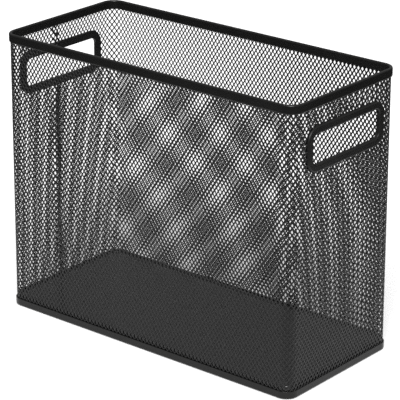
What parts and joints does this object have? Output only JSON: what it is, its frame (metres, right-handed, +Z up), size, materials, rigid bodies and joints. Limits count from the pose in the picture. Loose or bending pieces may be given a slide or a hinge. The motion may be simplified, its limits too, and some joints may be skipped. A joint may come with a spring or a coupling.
{
  "type": "mesh desktop file box",
  "caption": "Open-topped rectangular box of black expanded metal with a solid floor, rimmed edges and a slot handle in each short end, for magazines and hanging files.",
  "frame": {"origin": "centre of the base, on the surface it stands on", "axes": "+X along the long side, towards the end without the lap seam; -Y is the front long side; +Z up"},
  "size_m": [0.3126, 0.14, 0.25],
  "materials": {
    "mesh_coat": "satin black powder coat",
    "rim_coat": "satin black powder coat",
    "pan_coat": "satin black powder coat",
    "handle_coat": "satin black powder coat",
    "weld_coat": "satin black powder coat"
  },
  "bodies": {
    "root": {"mesh_wrap": "mesh_coat", "seam_welds": "weld_coat", "top_rim": "rim_coat", "bottom_rim": "rim_coat", "base_pan": "pan_coat", "left_handle_grommet": "handle_coat", "left_handle_washer": "handle_coat", "right_handle_grommet": "handle_coat", "right_handle_washer": "handle_coat"}
  },
  "joints": []
}
